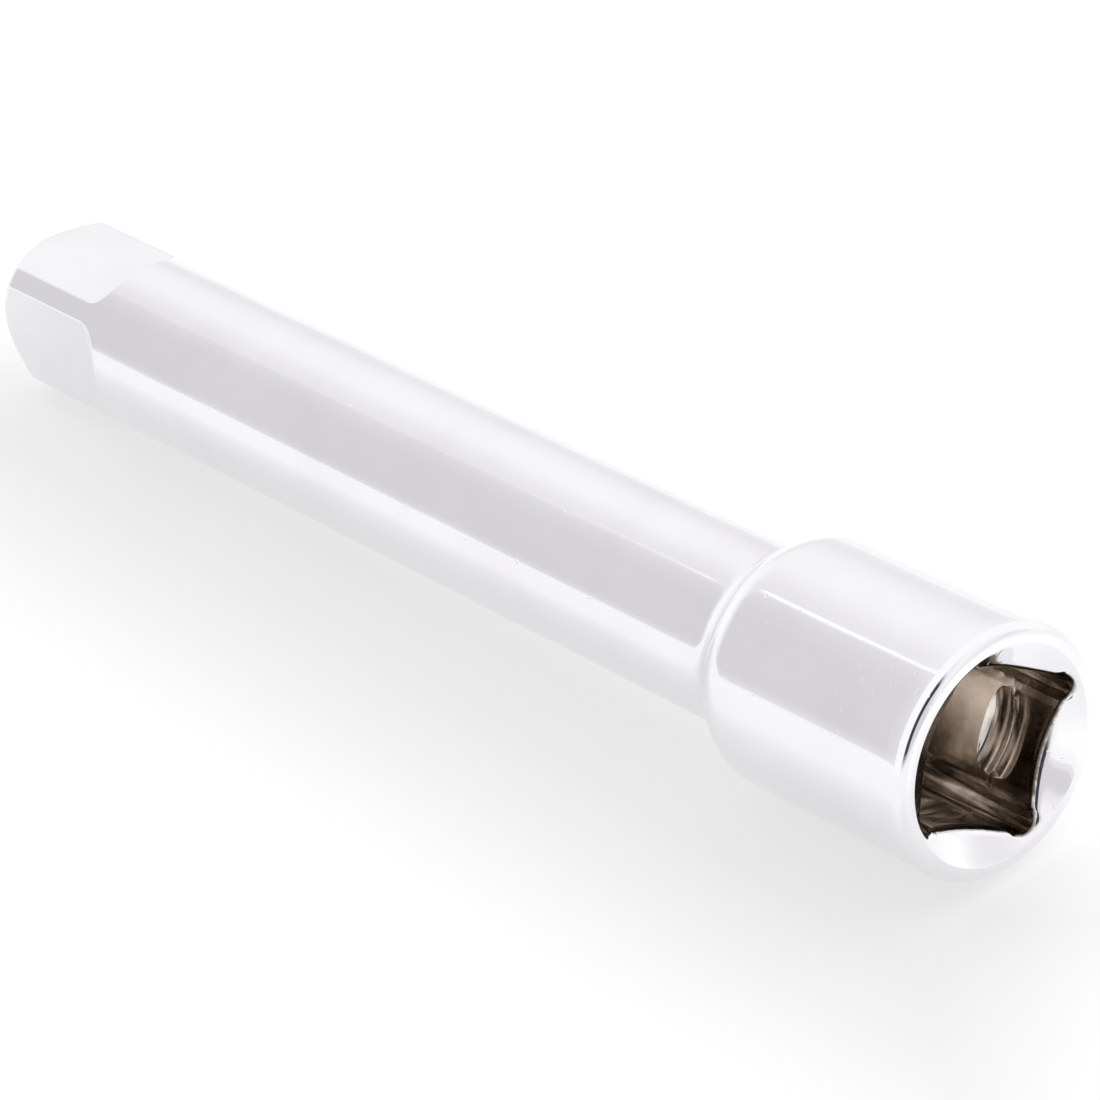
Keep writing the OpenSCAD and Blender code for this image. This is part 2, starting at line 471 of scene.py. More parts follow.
# %% Socket rows
RIM_EDGE_R = 0.18
WALL_EDGE_R = 1.4
GROOVE_PASS_R = 1.6
GROOVE_PASS_AT = 0.855
NARROWEST_GROOVE = 0.5
RIM_EDGE_SHARE, WALL_EDGE_SHARE = 0.2, 0.7
RIM_STEPS, CONE_STEPS, LIP_STEPS = 3, 4, 9
WALL_STEPS, GROOVE_STEPS, DEEP_STEPS = 14, 30, 32
FLOOR_STEPS, PILOT_STEPS = 4, 10


def countersink_rows():
    """Rim, its inner edge, the cone, and the fillet that turns from the cone into the wall."""
    rim_end = rim_r - RIM_WIDTH
    slope = 1 / math.tan(COUNTERSINK_HALF_ANGLE)
    edge, lip = pair(0, rim_end), pair(-(rim_end - socket_r) * slope, socket_r)
    cone = np.linalg.norm(lip - edge, axis=-1)
    turn = math.pi / 2 - COUNTERSINK_HALF_ANGLE
    wall_turn = COUNTERSINK_HALF_ANGLE
    rim_fillet = np.minimum(RIM_EDGE_R, RIM_EDGE_SHARE * cone / math.tan(turn / 2))
    wall_fillet = np.minimum(WALL_EDGE_R, WALL_EDGE_SHARE * cone / math.tan(wall_turn / 2))
    first = fillet(pair(0, rim_r), edge, lip, rim_fillet, RIM_STEPS)
    last = fillet(edge, lip, lip - [1, 0], wall_fillet, LIP_STEPS)
    return first, between(first[-1], last[0], CONE_STEPS), last


def groove_half_width():
    """Half the groove's width where it cuts the wall at each column's radius."""
    deep = SOCKET_HALF + GROOVE_DEPTH - GROOVE_PASS_R
    chord = np.sqrt(np.maximum(GROOVE_PASS_R ** 2 - (socket_r - deep) ** 2, 0))
    return np.where(socket_r < SOCKET_HALF + GROOVE_DEPTH, GROOVE_PASS_AT + chord, NARROWEST_GROOVE)


def groove_r(x):
    """Radius of the groove: two round passes side by side, with a low ridge between them."""
    deep = SOCKET_HALF + GROOVE_DEPTH - GROOVE_PASS_R
    off = np.abs(x - GROOVE_AT) - GROOVE_PASS_AT
    return deep + np.sqrt(np.maximum(GROOVE_PASS_R ** 2 - off ** 2, 0))


def wall_rows(lip):
    """Walls from the edge's fillet down to the floor, with rows along both edges of the groove."""
    half = groove_half_width()
    near, far = GROOVE_AT + half, GROOVE_AT - half
    across = 0.5 - 0.5 * np.cos(np.linspace(0, math.pi, GROOVE_STEPS + 1)[1:])
    x = np.concatenate([
        lip[:, 0] + (near - lip[:, 0]) * np.linspace(0, 1, WALL_STEPS + 1)[1:, None],
        near + (far - near) * across[:, None],
        far + (-SOCKET_DEPTH - far) * np.linspace(0, 1, DEEP_STEPS + 1)[1:, None],
    ])
    inside = np.abs(x - GROOVE_AT) <= half
    groove = inside & (socket_r < SOCKET_HALF + GROOVE_DEPTH)
    return np.stack([x, np.where(groove, np.maximum(groove_r(x), socket_r), socket_r)], -1)


def floor_rows():
    """The step in from the walls to the pilot drill's cone, and the cone nearly to its point."""
    inward = np.linspace(0, 1, FLOOR_STEPS + 1)[1:, None]
    step = pair(-SOCKET_DEPTH, socket_r + (PILOT_R - socket_r) * inward)
    point = PILOT_R / math.tan(PILOT_HALF_ANGLE)
    share = np.linspace(0, 1, PILOT_STEPS + 1)[1:-1, None]
    cone = pair(-SOCKET_DEPTH - point * share, PILOT_R * (1 - share))
    return np.concatenate([step, cone]), -SOCKET_DEPTH - point


rim, cone, lip = countersink_rows()
walls = wall_rows(lip[-1])
socket_floor, pilot_end = floor_rows()
socket_rows = np.concatenate([rim, cone, lip, walls, socket_floor])
print("socket:", len(socket_rows), "rows, to", round(pilot_end, 2), "mm")

# %% [markdown]
# ## Broach marks and burrs
#
# The square was punched or broached, so the reliefs carry fine ridges along the bar, and
# where a wall meets a relief the metal tore a little. The walls also bulge and dip slightly.
# Most of this is a few hundredths of a millimetre, added to the radius of the wall rows.

# %% Roughen the walls
RIDGE, RIDGE_PITCH = 0.05, 0.6
TEAR, TEAR_PITCH = 0.10, 0.7
WALL_WAVE, WALL_WAVE_PITCH = 0.02, 5.0
RELIEF_BAND, TEAR_BAND = 2, 1.3
ALONG_THE_BAR = (0.05, 1, 1)
FADE_ROWS = 6


def place(rows, angles):
    """Points in space: along the bar, and round it at each point's radius and angle."""
    x, r = rows[..., 0], rows[..., 1]
    angles = np.broadcast_to(angles, x.shape)
    return np.stack([x, r * np.cos(angles), r * np.sin(angles)], -1)


def roughen(rows, first, count):
    """Ridges that only change round the hole, tears at the relief's edge, and slow waves."""
    part = rows[first:first + count]
    points = place(part, socket_angle)
    past_edge = np.abs(np.degrees(socket_delta)) - RELIEF_EDGE
    relief = np.clip(past_edge / RELIEF_BAND, 0, 1)
    tear_at = np.exp(-(past_edge / TEAR_BAND) ** 2)
    ridges = ripple(points * ALONG_THE_BAR, RIDGE_PITCH, seed=3) * RIDGE * relief
    tears = np.maximum(ripple(points, TEAR_PITCH, seed=5), 0) ** 2 * TEAR * tear_at
    waves = ripple(points, WALL_WAVE_PITCH, seed=7) * WALL_WAVE * (1 - relief)
    fade = np.clip(np.arange(count) / FADE_ROWS, 0, 1)[:, None]
    part[..., 1] += (ridges - tears + waves) * fade
    return rows


before_walls = len(rim) + len(cone) + len(lip)
socket_rows = roughen(socket_rows, before_walls, len(walls))
print("walls now from", round(socket_rows[before_walls:, :, 1].min(), 3), "mm radius")

# %% [markdown]
# ## The bore for the ball
#
# The ball sits in a blind bore that opens in one flat. The bore is drilled, and the edge of
# its mouth is then staked inward with a ring punch, which keeps the ball in and leaves a
# shallow ring. In the skin a rectangle of faces is left out there. Rings of points lead from
# the rectangle to the round opening, and then down the bore to its end.

# %% Ball bore
STAKE_R, STAKE_WIDTH, STAKE_DEPTH = 2.5, 0.22, 0.13
DRIVE_SIDE = 3
BORE_COLUMN_INSET = 5
PATCH_R = 3.0
STAKED_LIP = 0.05
END_ROUND = 0.2
FLAT_RINGS, SEAT_RINGS, DOWN_RINGS, ROUND_RINGS, END_RINGS = 13, 9, 6, 4, 3


def rectangle_loop(rows, columns):
    """Point numbers round a rectangle of the grid, in the turning sense of the grid's faces."""
    grid = np.arange(rows[1] + 1)[:, None] * COLUMNS + np.arange(COLUMNS)
    low, high = rows
    left, right = columns
    return np.concatenate([
        grid[high, left + 1:right + 1][::-1], grid[low + 1:high + 1, left][::-1],
        grid[low, left:right], grid[low:high, right],
    ])


def bore_rings(loop_points):
    """Rings from the rectangle to the opening, over the staked ring, and down the bore."""
    off = loop_points[:, :2] - [BALL_X, 0]
    way = off / np.linalg.norm(off, axis=1)[:, None]
    mouth_height = -FLAT - BALL_Z
    opening = math.sqrt(BORE_R ** 2 - mouth_height ** 2)
    flat_r = np.linspace(PATCH_R, opening + STAKED_LIP, FLAT_RINGS)
    dip = STAKE_DEPTH * np.exp(-((flat_r - STAKE_R) / STAKE_WIDTH) ** 2)
    seat = np.linspace(math.asin(-mouth_height / BORE_R), 0, SEAT_RINGS)
    down = np.linspace(BALL_Z, BORE_END - END_ROUND, DOWN_RINGS + 1)[1:]
    end_turn = np.linspace(0, math.pi / 2, ROUND_RINGS + 1)[1:]
    radii = np.concatenate([
        flat_r, BORE_R * np.cos(seat), np.full_like(down, BORE_R),
        BORE_R - END_ROUND + END_ROUND * np.cos(end_turn),
        np.linspace(BORE_R - END_ROUND, 0, END_RINGS + 2)[1:-1],
    ])
    heights = np.concatenate([
        -FLAT + dip, BALL_Z - BORE_R * np.sin(seat), down,
        BORE_END - END_ROUND + END_ROUND * np.sin(end_turn), np.full(END_RINGS, BORE_END),
    ])
    heights[len(flat_r)] = -FLAT + STAKED_LIP
    rings = np.empty((len(radii), len(way), 3))
    rings[..., :2] = [BALL_X, 0] + way * radii[:, None, None]
    rings[..., 2] = heights[:, None]
    halfway = (loop_points + rings[0]) / 2
    return np.concatenate([halfway[None], rings])


bore_row_low = int(np.argmin(np.abs(drive_rows[:, 0, 0] - (BALL_X - PATCH_HALF))))
bore_row_high = int(np.argmin(np.abs(drive_rows[:, 0, 0] - (BALL_X + PATCH_HALF))))
bore_rows = (bore_row_low, bore_row_high)
side_start = DRIVE_SIDE * SIDE_COLUMNS + CORNER_COLUMNS + EDGE_COLUMNS + BORE_COLUMN_INSET
bore_columns = (side_start, side_start + FLAT_COLUMNS - 2 * BORE_COLUMN_INSET)
print("bore patch: rows", bore_rows, "columns", bore_columns)

# %% [markdown]
# ## Marks for the finish
#
# Plating hardly reaches the inside of a deep hole, so most of the socket is bare steel. Each
# point of the skin keeps three numbers from 0 to 1, which the material reads later: how well it
# is plated, how dark the bare steel is, from oxidation and from painted shade, and whether a
# lathe tool turned it. The steel near the mouth is painted darkest, which is painted shade.
# Deeper down each wall is painted with its own degree of shade, and on the near side the
# countersink is painted bare and dark, a painted reflection of the dark hole.

# %% Mark the skin
# Painted shade: the steel is painted darker towards the mouth, and each wall by its own amount.
MOUTH_SHADE_END, MOUTH_SHADE_FADE = 6.0, 3.0
WALL_SHADE = (0, 0.35, 0.2, 0.45)
RELIEF_STAIN, RELIEF_MOUTH_SHADE = 0.42, 0.7
GROOVE_OXIDE = 0.1
GROOVE_LEAST, GROOVE_REACH = 0.08, 3
# Painted reflection: the countersink on this side, the near one, is painted bare and dark.
DARK_REFLECTION_SIDE = 2
BORE_OXIDE = 0.4
PLATED_RINGS = 8


def socket_marks(rows):
    """How dark the steel is at each point of the socket's rows, from stains and painted shade, and
    where it was turned.
    """
    depth = -rows[..., 0]
    is_wall = socket_r < SOCKET_HALF + GROOVE_DEPTH
    turned = (rows[..., 1] > socket_r + GROOVE_LEAST) & (np.abs(depth + GROOVE_AT) < GROOVE_REACH)
    # Painted shade: each wall is darkened by its own amount, and the steel towards the mouth too.
    stain_and_shade = np.where(is_wall, np.repeat(WALL_SHADE, SIDE_COLUMNS), RELIEF_STAIN)
    mouth_shade = np.clip((MOUTH_SHADE_END - depth) / MOUTH_SHADE_FADE, 0, 1)
    burn_and_shade = np.maximum(mouth_shade * np.where(is_wall, 1, RELIEF_MOUTH_SHADE), stain_and_shade)
    return np.where(turned, GROOVE_OXIDE, burn_and_shade), turned


def skin_marks(rows):
    """Plating, darkness from oxidation and painted shade, and turning at each point: three numbers
    on the last axis.
    """
    marks = np.zeros(rows.shape[:2] + (3,))
    plating, oxide_and_shade, turned = (marks[..., number] for number in range(3))
    outside = len(drive_rows) + len(turned_rows)
    cone_start = outside + len(rim)
    lip_start = cone_start + len(cone)
    plating[:lip_start] = 1
    plating[lip_start:lip_start + len(lip)] = np.linspace(1, 0, len(lip))[:, None]
    oxide_and_shade[outside:], turned[outside:] = socket_marks(rows[outside:])
    # Painted reflection: the near side's countersink is painted bare and fully dark, standing in
    # for the dark hole it mirrors.
    dark_reflection = np.arange(COLUMNS) // SIDE_COLUMNS == DARK_REFLECTION_SIDE
    dark_reflection &= np.abs(np.degrees(socket_delta)) < RELIEF_EDGE
    marks[cone_start:lip_start + len(lip), dark_reflection, :2] = 0, 1
    return marks


def bore_marks(ring_count, ring_size):
    """The same three for the bore: plated round its mouth, then fading, and dull throughout."""
    plating = np.repeat(np.clip(2 - np.arange(ring_count) / PLATED_RINGS, 0, 1), ring_size)
    return plating[:, None] * [1, 0, 0] + [0, BORE_OXIDE, 0]


POLE_MARKS = [[1, 0, 0], [0, BORE_OXIDE, 0], [0, BORE_OXIDE, 0]]
# The printed side holds a painted reflection, and the wall numbers are painted shade.
print("scorched side:", DARK_REFLECTION_SIDE, "of 4; stains on the walls:", WALL_SHADE)

# %% [markdown]
# ## The whole bar as one skin
#
# Now the rows join up, from the tip to the bottom of the socket. Along the shank each column
# turns from its place on the square to its place on the socket. The outside also gets the
# faint waviness that polishing leaves, but for the tip's face and the flat round the ball. The
# marks go along as three attributes, one number to a point.

# %% Join the skin
SHANK_WAVE, SHANK_WAVE_PITCH = 0.012, 17
STILL_AT_TIP, STILL_BEFORE_BORE, STILL_PAST_BORE = 14, 12, 2


def column_angles(rows):
    """Each column's angle: the square's to the run-out, the socket's from the shoulder on."""
    middle = rows[:, 0, 0]
    share = np.clip((middle - RUNOUT_STOP) / (shank_foot - RUNOUT_STOP), 0, 1)
    share[len(drive_rows) + SHANK_ROWS:] = 1
    share = (share ** 2 * (3 - 2 * share))[:, None]
    return square_angle + (socket_angle - square_angle) * share


def skin_points(rows):
    """Points of the rows, with the outside moved in by a slow wave of a few hundredths."""
    points = place(rows, column_angles(rows))
    outside = len(drive_rows) + len(turned_rows)
    wave = (ripple(points[:outside], SHANK_WAVE_PITCH, seed=11) - 1) * SHANK_WAVE
    wave[bore_rows[0] - STILL_BEFORE_BORE:bore_rows[1] + STILL_PAST_BORE] = 0
    wave[:STILL_AT_TIP] = 0
    points[:outside, :, 1:] *= (1 + wave / rows[:outside, :, 1])[..., None]
    return points


def bar_skin():
    """Points and faces of the bar, bore and all, with the three marks at each point."""
    rows = np.concatenate([drive_rows, turned_rows, socket_rows])
    flat_points = skin_points(rows).reshape(-1, 3)
    numbers = np.arange(len(flat_points)).reshape(-1, COLUMNS)
    keep = np.ones((len(rows) - 1, COLUMNS), bool)
    keep[bore_rows[0]:bore_rows[1], bore_columns[0]:bore_columns[1]] = False

    loop = rectangle_loop(bore_rows, bore_columns)
    rings = bore_rings(flat_points[loop])
    first = numbers.size
    pole = first + rings[..., 0].size
    ring_numbers = np.arange(first, pole).reshape(-1, len(loop))
    ring_numbers = np.concatenate([loop[None], ring_numbers])
    poles = [[TIP, 0, 0], [pilot_end, 0, 0], [BALL_X, 0, BORE_END]]
    points = np.concatenate([flat_points, rings.reshape(-1, 3), poles])
    marks = np.concatenate([
        skin_marks(rows).reshape(-1, 3), bore_marks(len(rings), len(loop)), POLE_MARKS,
    ])
    quads = np.concatenate([grid_quads(numbers)[keep.ravel()], grid_quads(ring_numbers)])
    triangles = np.concatenate([
        fan(numbers[0], pole, True), fan(numbers[-1], pole + 1, False),
        fan(ring_numbers[-1], pole + 2, False),
    ])
    return points, quads, triangles, marks


def drop_unused(points, quads, triangles, values):
    """The same mesh without the points that no face uses."""
    used = np.zeros(len(points), bool)
    used[quads] = True
    used[triangles] = True
    renumber = np.cumsum(used) - 1
    return points[used], renumber[quads], renumber[triangles], values[used]


points, quads, triangles, marks = drop_unused(*bar_skin())
bar = make_mesh("extension_bar", points, quads, triangles)
for number, mark in enumerate(("plating", "oxide_and_shade", "turned")):
    values = marks[:, number].astype(np.float32)
    bar.data.attributes.new(mark, "FLOAT", "POINT").data.foreach_set("value", values)
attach(bar, "bar")
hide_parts("bar_body")

# %% [markdown]
# ## The ball
#
# A bearing ball is a plain sphere, so it is a grid of latitude and longitude with two poles.
# Its poles point along the bore, where the flat hides one of them.

# %% Ball
BALL_GRID = (40, 80)


def sphere_rows(radius, centre, count, columns):
    """Latitude rows from the bottom of a ball to its top, without the two poles."""
    latitude = np.linspace(-math.pi / 2, math.pi / 2, count + 2)[1:-1, None]
    longitude = np.linspace(0, 2 * math.pi, columns, endpoint=False)
    round_x = np.cos(latitude) * np.cos(longitude)
    round_y = np.cos(latitude) * np.sin(longitude)
    rise = np.broadcast_to(np.sin(latitude), round_x.shape)
    return np.array(centre) + radius * np.stack([round_x, round_y, rise], -1)


ball_centre = np.array([BALL_X, 0, BALL_Z])
ball_grid = sphere_rows(BALL_R, ball_centre, *BALL_GRID)
ball = make_mesh("retaining_ball", *closed_grid(
    ball_grid, ball_centre - [0, 0, BALL_R], ball_centre + [0, 0, BALL_R],
))
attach(ball, "ball")
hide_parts("detent_ball")

# %% [markdown]
# ## The spring
#
# The spring pushes the ball out of its bore. It is a tube carried along a helix: a closed
# turn at each end, an even pitch between them, and wire ends that are ground to a dome. It is
# squashed towards the bore's blind end as the ball goes in.

# %% Spring
TURN_ROWS = 30
WIRE_COLUMNS = 14
END_GAP = 0.03
DOME_TIP = 0.2


def spring_path(turns_done):
    """The helix's centre line: radius and angle are even, and the rise is slow at both ends."""
    top = BORE_END - WIRE_R - END_GAP
    foot = BALL_Z + math.sqrt((BALL_R + WIRE_R + END_GAP) ** 2 - SPRING_R ** 2)
    closed, full = 2 * WIRE_R, SPRING_TURNS
    heights = [0, closed, top - foot - closed, top - foot]
    rise = np.interp(turns_done, [0, 1, full - 1, full], heights)
    angle = 2 * math.pi * turns_done
    return np.stack([BALL_X + SPRING_R * np.cos(angle), SPRING_R * np.sin(angle), foot + rise], -1)


def tube_rows(path, radii, columns):
    """Circles across a path that climbs slowly: each lies in the plane of its axis and radius."""
    outward = (path - [BALL_X, 0, 0]) * [1, 1, 0]
    outward /= np.linalg.norm(outward, axis=1)[:, None]
    around = np.linspace(0, 2 * math.pi, columns, endpoint=False)[:, None]
    across = np.cos(around) * outward[:, None] + np.sin(around) * np.array([0, 0, 1.0])
    return path[:, None] + radii[:, None, None] * across


turns_done = np.linspace(0, SPRING_TURNS, SPRING_TURNS * TURN_ROWS + 1)
spring_line = spring_path(turns_done)
from_end = np.minimum(turns_done, SPRING_TURNS - turns_done) * 2 * math.pi * SPRING_R
end_dome = np.minimum(from_end / WIRE_R, 1)
wire_radii = WIRE_R * np.sqrt(np.clip(1 - (1 - end_dome) ** 2, DOME_TIP, 1))
spring = make_mesh("detent_coil", *closed_grid(
    tube_rows(spring_line, wire_radii, WIRE_COLUMNS), spring_line[0], spring_line[-1],
))
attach(spring, "bar")
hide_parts("detent_spring")
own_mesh(spring)

# %% [markdown]
# ## Material helpers
#
# A material is a small graph of nodes. The first helper adds one node and fills its inputs,
# either with a number or with another node's output. The others stand for the steps that come
# up again and again, so that each finish below reads as a list.

# %% Node helpers
def add(tree, kind, inputs=None, **settings):
    """A new node of this kind, with its settings and its inputs filled or linked."""
    node = tree.nodes.new(kind)
    for key, value in settings.items():
        setattr(node, key, value)
    for key, value in (inputs or {}).items():
        if isinstance(value, bpy.types.NodeSocket):
            tree.links.new(value, node.inputs[key])
        else:
            node.inputs[key].default_value = value
    return node


def noise(tree, place, per_metre, detail=3.0, roughness=0.55):
    """Smooth noise, 0 to 1, with so many lumps to the metre."""
    inputs = {"Vector": place, "Scale": per_metre, "Detail": detail, "Roughness": roughness}
    return add(tree, "ShaderNodeTexNoise", inputs).outputs["Fac"]


def spread(tree, value, low, high, to_low=0.0, to_high=1.0):
    """A value carried from one range to another, held at both ends."""
    inputs = {"Value": value, "From Min": low, "From Max": high}
    inputs.update({"To Min": to_low, "To Max": to_high})
    return add(tree, "ShaderNodeMapRange", inputs).outputs["Result"]


def sums(tree, operation, a, b=0.0):
    """One arithmetic step."""
    return add(tree, "ShaderNodeMath", {0: a, 1: b}, operation=operation).outputs[0]


def product(tree, *factors):
    """All the factors multiplied together."""
    total = factors[0]
    for factor in factors[1:]:
        total = sums(tree, "MULTIPLY", total, factor)
    return total


def distance(tree, value, centre):
    """How far a value is from a centre, on either side."""
    return sums(tree, "ABSOLUTE", sums(tree, "SUBTRACT", value, centre))


def attribute(tree, name):
    """The number that the mesh keeps at each point under this name."""
    return add(tree, "ShaderNodeAttribute", attribute_name=name).outputs["Fac"]


def blend_colours(tree, share, first, second):
    """The first colour at share 0 and the second at share 1."""
    return add(tree, "ShaderNodeMix", {0: share, 6: first, 7: second}, data_type="RGBA").outputs[2]


def new_material(name):
    """An empty material with its surface shader and Object coordinates."""
    material = bpy.data.materials.new(name)
    material.use_nodes = True
    tree = material.node_tree
    shader = tree.nodes["Principled BSDF"]
    place = add(tree, "ShaderNodeTexCoord").outputs["Object"]
    return material, tree, shader, place


def stretched(tree, place, scale):
    """Coordinates with a different scale on each axis, for marks that run one way."""
    return add(tree, "ShaderNodeMapping", {"Vector": place, "Scale": scale}).outputs["Vector"]


print("node helpers ready")

# %% [markdown]
# ## Chrome plate and bare steel
#
# Polished chrome is a mirror with a faint violet cast. Up close it shows lengthwise polishing
# lines, tiny pits and soft cloudy stains. Inside the socket the plating is nearly absent: the
# steel is tan and oily with darker stains, brown where heat has browned it and where shade is
# painted on it, rougher and duller, with fine tool lines in the groove. One material holds both
# finishes. The plating number on each point, broken up with noise, says which one shows. Scales
# are in lumps to the metre.

# %% Bar material
CHROME = (0.88, 0.872, 0.895, 1)
CHROME_CLOUD = (0.85, 0.838, 0.868, 1)
STEEL_TAN = (0.86, 0.79, 0.72, 1)
STEEL_STAIN = (0.66, 0.58, 0.51, 1)
STEEL_BROWN = (0.15, 0.115, 0.09, 1)
CHROME_ROUGH, STEEL_ROUGH = (0.045, 0.10), (0.11, 0.24)
CLOUD_SCALE, CLOUD_RANGE = 90, (0.45, 0.7)
STAIN_SCALE, STAIN_RANGE = 260, (0.42, 0.66)
OXIDE_SCALE, OXIDE_SPREAD, SHADE_AND_OXIDE_RANGE = 450, 0.2, (0.15, 0.85)
EDGE_SCALE, EDGE_SPREAD, BARE_RANGE = 1500, 0.15, (0.65, 0.45)
STEEL_SCALE, GRAIN_SCALE = 900, 2600
PIT_SCALE, PIT_RANGE = 1400, (0.68, 0.76)
POLISH_STRETCH, POLISH_RANGE, POLISH_HEIGHT = (60, 1100, 1100), (0.35, 0.75), 0.25
TOOL_STRETCH, TOOL_HEIGHT = (5200, 90, 90), 5
MID_RANGE = (0.3, 0.7)
BUMP_STRENGTH, BUMP_DEPTH = 0.5, 1.2e-5


def plate_finish(tree, place):
    """Colour, roughness and height of polished chrome."""
    lines = stretched(tree, place, POLISH_STRETCH)
    clouds = spread(tree, noise(tree, place, CLOUD_SCALE, detail=4), *CLOUD_RANGE)
    colour = blend_colours(tree, clouds, CHROME, CHROME_CLOUD)
    rough = spread(tree, noise(tree, lines, 1.0), *POLISH_RANGE, *CHROME_ROUGH)
    pits = spread(tree, noise(tree, place, PIT_SCALE, detail=1), *PIT_RANGE, 0, -1)
    polish = product(tree, noise(tree, lines, 1.0, detail=2), POLISH_HEIGHT)
    return colour, rough, sums(tree, "ADD", polish, pits)


def steel_finish(tree, place):
    """Colour, roughness and height of bare steel, by its oxidation, its painted shade and its tool
    lines.
    """
    stain = noise(tree, place, STAIN_SCALE, detail=6, roughness=0.65)
    clean = blend_colours(tree, spread(tree, stain, *STAIN_RANGE), STEEL_TAN, STEEL_STAIN)
    patches = noise(tree, place, OXIDE_SCALE)
    patches = spread(tree, patches, *MID_RANGE, -OXIDE_SPREAD, OXIDE_SPREAD)
    # The darkness number holds oxidation and painted shade, and noise adds patches of oxidation.
    burn_and_shade = sums(tree, "ADD", attribute(tree, "oxide_and_shade"), patches)
    colour = blend_colours(tree, spread(tree, burn_and_shade, *SHADE_AND_OXIDE_RANGE), clean, STEEL_BROWN)
    rough = spread(tree, noise(tree, place, STEEL_SCALE), *MID_RANGE, *STEEL_ROUGH)
    grain = noise(tree, place, GRAIN_SCALE, detail=5, roughness=0.7)
    tool_lines = noise(tree, stretched(tree, place, TOOL_STRETCH), 1.0, detail=2)
    tool_lines = product(tree, tool_lines, attribute(tree, "turned"), TOOL_HEIGHT)
    return colour, rough, sums(tree, "ADD", grain, tool_lines)


def chrome_plate():
    """Two finishes mixed by the plating attribute, whose edge is ragged."""
    material, tree, shader, place = new_material("chrome_plate")
    plate, plate_rough, plate_height = plate_finish(tree, place)
    steel, steel_rough, steel_height = steel_finish(tree, place)
    ragged = spread(tree, noise(tree, place, EDGE_SCALE), 0, 1, -EDGE_SPREAD, EDGE_SPREAD)
    ragged = sums(tree, "ADD", attribute(tree, "plating"), ragged)
    bare = spread(tree, ragged, *BARE_RANGE)
    tree.links.new(blend_colours(tree, bare, plate, steel), shader.inputs["Base Color"])
    rough = add(tree, "ShaderNodeMix", {0: bare, 2: plate_rough, 3: steel_rough}).outputs[0]
    tree.links.new(rough, shader.inputs["Roughness"])
    shader.inputs["Metallic"].default_value = 1.0
    height = add(tree, "ShaderNodeMix", {0: bare, 2: plate_height, 3: steel_height}).outputs[0]
    relief = {"Height": height, "Strength": BUMP_STRENGTH, "Distance": BUMP_DEPTH}
    bump = add(tree, "ShaderNodeBump", relief)
    tree.links.new(bump.outputs["Normal"], shader.inputs["Normal"])
    return material


bar.data.materials.append(chrome_plate())
print("bar material:", bar.data.materials[0].name)

# %% [markdown]
# ## Ball and spring finishes
#
# The ball is hardened bearing steel, lapped bright and then lightly scuffed where sockets
# slide over it. The spring is dark drawn wire with a film of oil.

# %% Ball and spring materials
BALL_BRIGHT = (0.74, 0.74, 0.76, 1)
BALL_SCUFFED = (0.60, 0.59, 0.59, 1)
WIRE_DARK = (0.20, 0.19, 0.18, 1)
WIRE_BRIGHT = (0.42, 0.41, 0.40, 1)
BALL_ROUGH, WIRE_ROUGH = (0.10, 0.28), (0.22, 0.42)
SCUFF_STRETCH, SCUFF_DEPTH = (400, 5000, 5000), 5e-6
DRAWN_STRETCH, DRAWN_DEPTH = (1500, 1500, 9000), 8e-6
OIL_SCALE = 1200


def ball_steel():
    """Bright steel with fine scuffs along the bar."""
    material, tree, shader, place = new_material("ball_steel")
    scuffs = noise(tree, stretched(tree, place, SCUFF_STRETCH), 1.0, detail=4)
    tree.links.new(
        blend_colours(tree, spread(tree, scuffs, 0.45, 0.7), BALL_BRIGHT, BALL_SCUFFED),
        shader.inputs["Base Color"],
    )
    tree.links.new(spread(tree, scuffs, 0.4, 0.7, *BALL_ROUGH), shader.inputs["Roughness"])
    shader.inputs["Metallic"].default_value = 1.0
    relief = {"Height": scuffs, "Strength": 0.3, "Distance": SCUFF_DEPTH}
    bump = add(tree, "ShaderNodeBump", relief)
    tree.links.new(bump.outputs["Normal"], shader.inputs["Normal"])
    return material


def spring_wire():
    """Dark wire with drawing marks and an oil film that varies along it."""
    material, tree, shader, place = new_material("spring_wire")
    oil = noise(tree, place, OIL_SCALE, detail=3)
    marks = noise(tree, stretched(tree, place, DRAWN_STRETCH), 1.0, detail=3)
    tree.links.new(
        blend_colours(tree, spread(tree, oil, 0.35, 0.65), WIRE_DARK, WIRE_BRIGHT),
        shader.inputs["Base Color"],
    )
    tree.links.new(spread(tree, oil, *MID_RANGE, *WIRE_ROUGH), shader.inputs["Roughness"])
    shader.inputs["Metallic"].default_value = 1.0
    relief = {"Height": marks, "Strength": 0.4, "Distance": DRAWN_DEPTH}
    bump = add(tree, "ShaderNodeBump", relief)
    tree.links.new(bump.outputs["Normal"], shader.inputs["Normal"])
    return material


ball.data.materials.append(ball_steel())
spring.data.materials.append(spring_wire())
print("materials:", [m.name for m in bpy.data.materials if m.users])

# %% [markdown]
# ## Floor
#
# The bar lies on a pale matt table. It touches at the rear edge of its head and at the far
# end of its round shank, so the table is a plane through those two heights: it tilts a little
# in the bar's own frame. The board glows faintly, which is painted light, and a painted shadow
# lowers the glow under the bar; it is also painted dimmer on the near side and far behind. That
# is what the chrome's underside mirrors. From below the table is see-through.

# %% Floor
FLOOR_REACH = 4000
TABLE = (0.43, 0.43, 0.432, 1)
MOTTLE_SCALE, MOTTLE_DARK = 35, 0.985
TABLE_ROUGH, TABLE_SHINE = 0.9, 0.1
TABLE_GLOW = 0.74
NEAR_SIDE, NEAR_GLOW = (-0.020, 0.0), 0.85
SHADE_AT, SHADE_WIDTH, SHADE_GLOW = -0.009, (0.004, 0.026), 0.72
SHADE_LENGTH = (0.066, 0.096)
FAR_FALL, FAR_GLOW = (0.03, 0.10), 0.83


